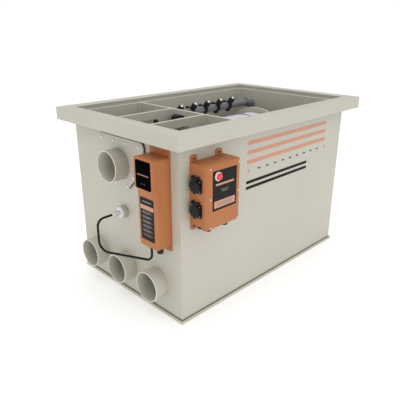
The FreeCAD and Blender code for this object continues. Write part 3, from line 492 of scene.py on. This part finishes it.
for part in frame["record"]["subparts"]:
    NODES[part["node"]]["slot"] = part["material_slot"]
for node_name, node_object in NODES.items():
    finish_node(node_name, node_object)


# ---------- mesh helpers ----------

def new_object(name, bm, materials):
    """Makes an object of a bmesh."""
    data = bpy.data.meshes.new(name)
    bmesh.ops.recalc_face_normals(bm, faces=bm.faces)
    bm.to_mesh(data)
    bm.free()
    for material in materials if isinstance(materials, list) else [materials]:
        data.materials.append(material)
    thing = bpy.data.objects.new(name, data)
    bpy.context.scene.collection.objects.link(thing)
    return thing


def piece(name, bm, materials, body="tank"):
    """A new object that rides on a body."""
    thing = new_object(name, bm, materials)
    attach(thing, body)
    return thing


def shade_smooth(thing, angle=35):
    """Smooth shading with creases at corners sharper than angle."""
    for polygon in thing.data.polygons:
        polygon.use_smooth = True
    thing.data.set_sharp_from_angle(angle=math.radians(angle))


def soften(thing, width):
    """Small rounded edges on a piece."""
    round_edges(thing, width, 1)
    shade_smooth(thing, 60)


def skin(bm, rings, closed):
    """Faces between rings of vertices, with end caps on an open path."""
    count = len(rings)
    sides = len(rings[0])
    for index in range(count if closed else count - 1):
        near, far = rings[index], rings[(index + 1) % count]
        for side in range(sides):
            after = (side + 1) % sides
            bm.faces.new((near[side], near[after], far[after], far[side]))
    if not closed:
        bm.faces.new(rings[0])
        bm.faces.new(rings[-1])


def bead(bm, path, normal, size, pitch, closed=False):
    """Rippled weld bead along a flat path; normal is square to the path's plane."""
    sides = 8
    rings = []
    count = len(path)
    travelled = 0.0
    for index, point in enumerate(path):
        before = path[index - 1] if index or closed else point
        after = path[(index + 1) % count] if closed or index + 1 < count else point
        along = (after - before).normalized()
        across = along.cross(normal).normalized()
        if index:
            travelled += (point - path[index - 1]).length
        swell = 1 + 0.10 * math.sin(2 * math.pi * travelled / pitch)
        swell += 0.05 * math.sin(travelled * 61.0 + path[0].x * 40)
        ring = []
        for side in range(sides):
            angle = 2 * math.pi * side / sides
            offset = across * math.cos(angle) + normal * math.sin(angle)
            ring.append(bm.verts.new(point + offset * size * swell))
        rings.append(ring)
    skin(bm, rings, closed)


def straight(start, end, step):
    """Points from start to end, about step apart."""
    count = max(2, round((end - start).length / step))
    return [start.lerp(end, index / count) for index in range(count + 1)]


def ring_points(centre, first, second, radius, count):
    """Evenly spaced points round a circle in the plane of two unit vectors."""
    angles = [2 * math.pi * index / count for index in range(count)]
    return [centre + (first * math.cos(a) + second * math.sin(a)) * radius for a in angles]


def circle(centre, first, second, radius, step):
    """Points round a circle, about step apart."""
    return ring_points(centre, first, second, radius, max(12, round(2 * math.pi * radius / step)))


def rounded_outline(width, height, corner, steps=6):
    """(across, up) points of a rounded rectangle about its centre."""
    points = []
    corners = [(1, 1, 0), (-1, 1, 90), (-1, -1, 180), (1, -1, 270)]
    for side_x, side_y, start in corners:
        centre = (side_x * (width / 2 - corner), side_y * (height / 2 - corner))
        for step in range(steps + 1):
            angle = math.radians(start + 90 * step / steps)
            points.append((centre[0] + corner * math.cos(angle), centre[1] + corner * math.sin(angle)))
    return points


def add_slab(bm, outline, centre, right, up, thickness, material=0):
    """Outline laid at centre in the plane of right and up and raised towards right x up."""
    out = right.cross(up)
    low = [bm.verts.new(centre + right * a + up * b) for a, b in outline]
    high = [bm.verts.new(v.co + out * thickness) for v in low]
    faces = [bm.faces.new(low), bm.faces.new(high)]
    for index in range(len(low)):
        after = (index + 1) % len(low)
        faces.append(bm.faces.new((low[index], low[after], high[after], high[index])))
    for face in faces:
        face.material_index = material


def lathe(bm, outline, centre, axis, first, steps):
    """Turns (radius, along) points round axis; a radius of 0 closes an end."""
    second = axis.cross(first)
    rings = []
    for radius, along in outline:
        middle = centre + axis * along
        points = ring_points(middle, first, second, radius, steps) if radius else [middle]
        rings.append([bm.verts.new(point) for point in points])
    for near, far in zip(rings, rings[1:]):
        for step in range(steps):
            after = (step + 1) % steps
            corners = [ring[index % len(ring)] for ring, index in
                       ((near, step), (near, after), (far, after), (far, step))]
            bm.faces.new(list(dict.fromkeys(corners)))


# ---------- weld beads ----------

BEAD_STEP = 1.5 * MM
RIPPLE = 6 * MM


def pipe_welds():
    """Fillet beads where the stubs meet the wall and the outlet plate."""
    for name, node, count in (("inlet_stub_welds", "inlet_stubs", 3), ("outlet_stub_weld", "outlet_stub", 1)):
        low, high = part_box(node)
        radius = (high.z - low.z) / 2
        gap = (high.x - low.x - 2 * radius) / max(1, count - 1)
        bm = bmesh.new()
        for index in range(count):
            centre = Vector((low.x + radius + gap * index, high.y, (low.z + high.z) / 2))
            path = circle(centre, X, Z, radius + 0.8 * MM, BEAD_STEP)
            bead(bm, path, Y, 2.6 * MM, RIPPLE, closed=True)
        shade_smooth(piece(name, bm, WELD))


def ring_path(low, high, z, step):
    """Points round a level rectangle between the corners low and high."""
    corners = [Vector((x, y, z)) for x, y in
               ((low[0], low[1]), (high[0], low[1]), (high[0], high[1]), (low[0], high[1]))]
    path = []
    for index, corner in enumerate(corners):
        path += straight(corner, corners[(index + 1) % 4], step)[:-1]
    return path


INNER_LOW = Vector((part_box("left_wall")[1].x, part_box("front_wall")[1].y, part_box("base_plate")[1].z))
INNER_HIGH = Vector((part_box("right_wall")[0].x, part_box("rear_wall")[0].y, LEDGE - 1 * MM))
CROSS_LOW, CROSS_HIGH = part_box("cross_divider")


def corner_welds():
    """Upright beads in the tank's corners and where the dividers meet other sheets."""
    joints = [(x, y, 3.8 * MM) for x in (INNER_LOW.x, INNER_HIGH.x)
              for y in (INNER_LOW.y, CROSS_LOW.y, CROSS_HIGH.y, INNER_HIGH.y)]
    for divider in ("left_divider", "right_divider"):
        joints += [(corner.x, y, 3.6 * MM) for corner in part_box(divider) for y in (INNER_LOW.y, CROSS_LOW.y)]
    bm = bmesh.new()
    for x, y, size in joints:
        path = straight(Vector((x, y, INNER_LOW.z)), Vector((x, y, INNER_HIGH.z)), 2 * MM)
        bead(bm, path, X, size, RIPPLE)
    shade_smooth(piece("inner_corner_welds", bm, WELD))


def floor_welds():
    """Beads round the floor of each chamber."""
    left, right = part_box("left_divider"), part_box("right_divider")
    bays = [((low, INNER_LOW.y), (high, CROSS_LOW.y)) for low, high in
            ((INNER_LOW.x, left[0].x), (left[1].x, right[0].x), (right[1].x, INNER_HIGH.x))]
    bays.append(((INNER_LOW.x, CROSS_HIGH.y), (INNER_HIGH.x, INNER_HIGH.y)))
    bm = bmesh.new()
    for low, high in bays:
        bead(bm, ring_path(low, high, INNER_LOW.z, 3 * MM), Z, 3 * MM, RIPPLE, closed=True)
    shade_smooth(piece("inner_floor_welds", bm, WELD))


def base_seam():
    """Dark sealed joint where the walls stand on the base plate."""
    z = INNER_LOW.z + 0.6 * MM
    bm = bmesh.new()
    bead(bm, ring_path(WALL_LOW, WALL_HIGH, z, 4 * MM), Z, 2.8 * MM, 14 * MM, closed=True)
    shade_smooth(piece("base_seam", bm, gasket_foam("sealant", (0.17, 0.163, 0.135))))


def collar_weld():
    """Bead where the drum's collar stands on the divider."""
    low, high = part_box("drum_collar")
    centre = Vector(((low.x + high.x) / 2, low.y, (low.z + high.z) / 2))
    radius = (high.z - low.z) / 2 + 0.5 * MM
    bm = bmesh.new()
    bead(bm, circle(centre, X, Z, radius, 3 * MM), Y, 2.4 * MM, RIPPLE, closed=True)
    shade_smooth(piece("collar_weld", bm, WELD))


def rim_weld():
    """Bead under the rim boards, along the outer face of the walls."""
    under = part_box("rim_frame")[1].z - 5 * MM
    bm = bmesh.new()
    bead(bm, ring_path(WALL_LOW, WALL_HIGH, under, 3 * MM), Z, 2.4 * MM, RIPPLE, closed=True)
    shade_smooth(piece("rim_weld", bm, WELD))


# ---------- labels ----------

HEAD_STEP = 11 * MM         # how far the driver's head stands out from its body


def driver_label():
    """Dark label with a pink band and rows of plain bars on the lamp driver."""
    low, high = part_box("driver_housing")
    centre = Vector(((low.x + high.x) / 2 + 1.5 * MM, low.y + HEAD_STEP, low.z + 104 * MM))
    width, height = 70 * MM, 152 * MM
    bm = bmesh.new()
    add_slab(bm, rounded_outline(width, height, 5 * MM), centre, X, Z, 0.5 * MM)
    soften(piece("driver_label", bm, LABEL_INK), 0.15 * MM)
    bm = bmesh.new()
    raised = centre - Y * 0.5 * MM
    top = raised + Z * height / 2
    add_slab(bm, rounded_outline(width - 3 * MM, 15 * MM, 1.5 * MM), top - Z * 34 * MM, X, Z, 0.15 * MM, 0)
    add_slab(bm, rounded_outline(width - 24 * MM, 4.4 * MM, 1 * MM, 3), top - Z * 14 * MM, X, Z, 0.15 * MM, 1)
    for row in range(6):
        spot = top - Z * (52 + row * 16.2) * MM + X * 3.5 * MM
        driver_label_row(bm, spot, row, width - 16 * MM)
        dot = spot - X * (width / 2 - 4.2 * MM)
        add_slab(bm, rounded_outline(2.6 * MM, 2.6 * MM, 1.29 * MM, 4), dot, X, Z, 0.2 * MM, 1)
    films = [LABEL_PINK, LABEL_GREY, LABEL_RED]
    shade_smooth(piece("driver_label_print", bm, films))


def driver_label_row(bm, spot, row, full):
    """Three bars of uneven length, ranged left; the last row is red."""
    material = 2 if row == 5 else 1
    for line in (-1, 0, 1):
        length = full * (0.92 - 0.13 * ((row * 3 + line) % 3))
        bar = spot + Z * line * 3.2 * MM - X * (full - length) / 2
        add_slab(bm, rounded_outline(length, 1.9 * MM, 0.5 * MM, 2), bar, X, Z, 0.12 * MM, material)


def display_marks():
    """Plain bar and status dots on the driver's dark window."""
    low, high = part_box("driver_screen")
    centre = Vector(((low.x + high.x) / 2, low.y, (low.z + high.z) / 2))
    bm = bmesh.new()
    add_slab(bm, rounded_outline(56 * MM, 4 * MM, 0.8 * MM, 3), centre, X, Z, 0.15 * MM, 1)
    for step in (-1, 0, 1):
        dot = centre + Vector((step * 8, 0, -30)) * MM
        add_slab(bm, rounded_outline(2.4 * MM, 2.4 * MM, 1.1 * MM, 4), dot, X, Z, 0.15 * MM)
    shade_smooth(piece("display_marks", bm, [LABEL_GREY, LABEL_PRINT]))


def control_label():
    """Dark label with a darker border, plain bars and a pink band on the control box."""
    low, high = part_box("control_cover")
    width, height = 113.5 * MM, 134.5 * MM
    centre = Vector((high.x, (low.y + high.y) / 2 + 0.2 * MM, low.z + 132.75 * MM))
    bm = bmesh.new()
    add_slab(bm, rounded_outline(width, height, 2.5 * MM), centre, Y, Z, 0.4 * MM)
    soften(piece("control_label_border", bm, LABEL_EDGE), 0.12 * MM)
    bm = bmesh.new()
    raised = centre + X * 0.4 * MM
    add_slab(bm, rounded_outline(width - 8 * MM, height - 8 * MM, 1.5 * MM), raised, Y, Z, 0.2 * MM, 0)
    raised += X * 0.2 * MM
    band = raised - Z * (height / 2 - 20.5 * MM)
    add_slab(bm, rounded_outline(width - 15 * MM, 24 * MM, 1 * MM), band, Y, Z, 0.15 * MM, 1)
    for rise, length, thickness, material in ((20, 86, 6.5, 2), (0, 40, 2, 3), (-6, 28, 2, 3)):
        outline = rounded_outline(length * MM, thickness * MM, 0.9 * MM, 3)
        add_slab(bm, outline, raised + Z * rise * MM, Y, Z, 0.15 * MM, material)
    for rise, length in ((5.2, 84), (0, 70), (-5.2, 78)):
        outline = rounded_outline(length * MM, 2.2 * MM, 0.5 * MM, 2)
        add_slab(bm, outline, band + Z * rise * MM + X * 0.15 * MM, Y, Z, 0.1 * MM, 4)
    films = [LABEL_INK, LABEL_PINK, STRIPE_SALMON, LABEL_GREY, LABEL_PRINT]
    shade_smooth(piece("control_label", bm, films))


def socket_screws():
    """Steel pan heads on the corners of the two power sockets."""
    low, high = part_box("socket_bases")
    x = (low.x + high.x) / 2
    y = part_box("control_tray")[0].y - 5.4 * MM
    outline = [(0, 0), (2.3 * MM, 0), (2.3 * MM, 0.5 * MM), (1.6 * MM, 1.1 * MM), (0, 1.3 * MM)]
    bm = bmesh.new()
    for lid in ("upper_socket_lid", "lower_socket_lid"):
        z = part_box(lid)[0].z + 25.5 * MM
        for across in (-18 * MM, 18 * MM):
            for up in (-16 * MM, 16 * MM):
                lathe(bm, outline, Vector((x + across, y, z + up)), -Y, X, 20)
    shade_smooth(piece("socket_screws", bm, MATERIALS["stainless"]))


def wall_stripes():
    """Plain vinyl stripes, dashes and dots on the side wall, below the rim and behind the control box."""
    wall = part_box("right_wall")[1].x
    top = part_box("rim_frame")[0].z
    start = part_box("control_cover")[1].y
    bm = bmesh.new()

    def mark(along, down, length, height, material):
        """Bar whose middle is along from the control box and down from the rim, in millimetres."""
        outline = rounded_outline(length * MM, height * MM, (height / 2 - 0.05) * MM)
        centre = Vector((wall, start + along * MM, top - down * MM))
        add_slab(bm, outline, centre, Y, Z, 0.25 * MM, material)

    for down in (47.5, 83, 118.5):
        mark(390.5, down, 530, 15.5, 0)
    for step in range(9):
        mark(198.5 + 50 * step, 153, 16, 5.5, 1)
    for along in (138.5, 656.5):
        mark(along, 153, 14.5, 14, 0)
    for down in (196.5, 218.5):
        mark(324.5, down, 400, 12, 1)
    shade_smooth(piece("wall_stripes", bm, [STRIPE_SALMON, STRIPE_DARK]))


# ---------- drum and sprayer ----------

NOZZLES = 5
NOZZLE_TILT = math.radians(50)
NOZZLE_REACH = 49 * MM      # from the bar's axis to the end of a nozzle's holder
HOLDER_R = 13.5 * MM


def mesh_bands():
    """Steel straps with worm screws that hold the cloth on the drum; angles are from the top."""
    low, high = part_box("drum_mesh")
    radius = (high.z - low.z) / 2
    centre = (low + high) / 2
    half = 7 * MM
    inner, outer = radius + 0.05 * MM, radius + 1.1 * MM
    profile = [(inner, -half), (outer - 0.3 * MM, -half), (outer, -half + 0.4 * MM),
               (outer, half - 0.4 * MM), (outer - 0.3 * MM, half), (inner, half), (inner, -half)]
    worm = [(0, -15 * MM), (3.6 * MM, -15 * MM), (4 * MM, -14.4 * MM), (4 * MM, -10 * MM),
            (2.6 * MM, -10 * MM), (2.6 * MM, 12 * MM), (0, 12 * MM)]
    places = (("near_mesh_band", low.y + 10 * MM, -40), ("middle_mesh_band", high.y - 84 * MM, -5),
              ("far_mesh_band", high.y - 10 * MM, -40))
    for name, y, degrees in places:
        middle = Vector((centre.x, y, centre.z))
        angle = math.radians(degrees)
        out = Vector((math.sin(angle), 0, math.cos(angle)))
        along = Vector((math.cos(angle), 0, -math.sin(angle)))
        screw = middle + out * (outer + 2.6 * MM)
        bm = bmesh.new()
        lathe(bm, profile, middle, Y, Z, 160)
        bmesh.ops.remove_doubles(bm, verts=bm.verts, dist=1e-6)
        housing = rounded_outline(20 * MM, 13 * MM, 1.5 * MM, 3)
        add_slab(bm, housing, screw - out * 3.2 * MM, Y.cross(out), Y, 4.6 * MM)
        lathe(bm, worm, screw, along, Y, 20)
        soften(piece(name, bm, MATERIALS["stainless"], "drum"), 0.2 * MM)


def nozzle_tips():
    """Pale fan nozzles in the rinse bar's holders."""
    low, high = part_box("spray_nozzles")
    bar_low, bar_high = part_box("spray_bar")
    bar = (bar_low + bar_high) / 2
    first, last = low.y + HOLDER_R, high.y - HOLDER_R
    out = Vector((math.cos(NOZZLE_TILT), 0, math.sin(NOZZLE_TILT)))
    outline = [(0, -2 * MM), (6.4 * MM, -2 * MM), (6.4 * MM, 0.6 * MM), (5.4 * MM, 2.4 * MM),
               (3.6 * MM, 3.8 * MM), (1.2 * MM, 4.2 * MM), (0, 3.6 * MM)]
    bm = bmesh.new()
    for index in range(NOZZLES):
        y = first + (last - first) * index / (NOZZLES - 1)
        lathe(bm, outline, Vector((bar.x, y, bar.z)) + out * NOZZLE_REACH, out, Y, 24)
    shade_smooth(piece("nozzle_tips", bm, MATERIALS["white_plastic"], "sprayer"))


pipe_welds()
corner_welds()
floor_welds()
base_seam()
collar_weld()
rim_weld()
driver_label()
display_marks()
control_label()
socket_screws()
wall_stripes()
mesh_bands()
nozzle_tips()


# ---------- floor, light and camera ----------

def floor():
    """Plain pale paper that glows a little, so that it has no hard shadow."""
    s = Surface("floor_paper", Roughness=0.9)
    s.set("Base Color", s.mix(s.noise(3), (0.86, 0.86, 0.86), (0.88, 0.88, 0.88)))
    s.set("Emission Color", (1.0, 1.0, 1.0))
    seen = s.add("LightPath").outputs["Is Camera Ray"]
    s.set("Emission Strength", s.span(seen, FLOOR_GLOW, FLOOR_SEEN, 0, 1))
    s.set("Specular IOR Level", 0.0)
    bm = bmesh.new()
    add_slab(bm, rounded_outline(12, 12, 3), Vector((0, 0, FLOOR_Z - 0.02)), X, Y, 0.02)
    new_object("floor", bm, s.material)


def sky():
    """Soft even light, with a plain white backdrop behind the object."""
    world = bpy.data.worlds.new("studio")
    bpy.context.scene.world = world
    world.use_nodes = True
    tree = world.node_tree
    levels = {"light": SKY, "mirrored": SKY_MIRRORED, "backdrop": BACKDROP}
    shades = {}
    for name, strength in levels.items():
        shades[name] = tree.nodes.new("ShaderNodeBackground")
        shades[name].inputs["Color"].default_value = (1.0, 1.0, 1.0, 1)
        shades[name].inputs["Strength"].default_value = strength
    ray = tree.nodes.new("ShaderNodeLightPath")
    below = shades["light"].outputs[0]
    for kind, name in (("Is Glossy Ray", "mirrored"), ("Is Camera Ray", "backdrop")):
        mix = tree.nodes.new("ShaderNodeMixShader")
        tree.links.new(ray.outputs[kind], mix.inputs[0])
        tree.links.new(below, mix.inputs[1])
        tree.links.new(shades[name].outputs[0], mix.inputs[2])
        below = mix.outputs[0]
    tree.links.new(below, tree.nodes["World Output"].inputs["Surface"])


def softbox(name, place, aim, size, power):
    """Rectangular area light that looks at aim."""
    data = bpy.data.lights.new(name, "AREA")
    data.shape = "RECTANGLE"
    data.size, data.size_y = size
    data.energy = power
    lamp = bpy.data.objects.new(name, data)
    lamp.location = place
    lamp.rotation_mode = "QUATERNION"
    lamp.rotation_quaternion = (Vector(aim) - Vector(place)).to_track_quat("-Z", "Y")
    bpy.context.scene.collection.objects.link(lamp)


def camera():
    """The main view, from the front left corner and a little above."""
    data = bpy.data.cameras.new("camera")
    data.lens = LENS
    data.sensor_width = 36.0
    data.clip_start, data.clip_end = 0.05, 60
    eye = bpy.data.objects.new("camera", data)
    level = math.cos(VIEW_ELEVATION) * VIEW_DISTANCE
    rise = math.sin(VIEW_ELEVATION) * VIEW_DISTANCE
    back = Vector((math.sin(VIEW_AZIMUTH) * level, -math.cos(VIEW_AZIMUTH) * level, rise))
    eye.location = VIEW_AIM + back
    eye.rotation_euler = (math.pi / 2 - VIEW_ELEVATION, 0, VIEW_AZIMUTH)
    bpy.context.scene.collection.objects.link(eye)
    bpy.context.scene.camera = eye


floor()
sky()
softbox("key", (4.0, -0.8, 1.5), (0, 0, 0.3), (2.6, 2.0), KEY_POWER)
softbox("fill", (-0.6, -4.2, 1.5), (0, 0, 0.3), (2.6, 2.0), FILL_POWER)
softbox("top", (0.0, 0.0, 4.0), (0, 0, 0), (3.0, 3.0), TOP_POWER)
camera()
bpy.context.scene.view_settings.view_transform = "Standard"
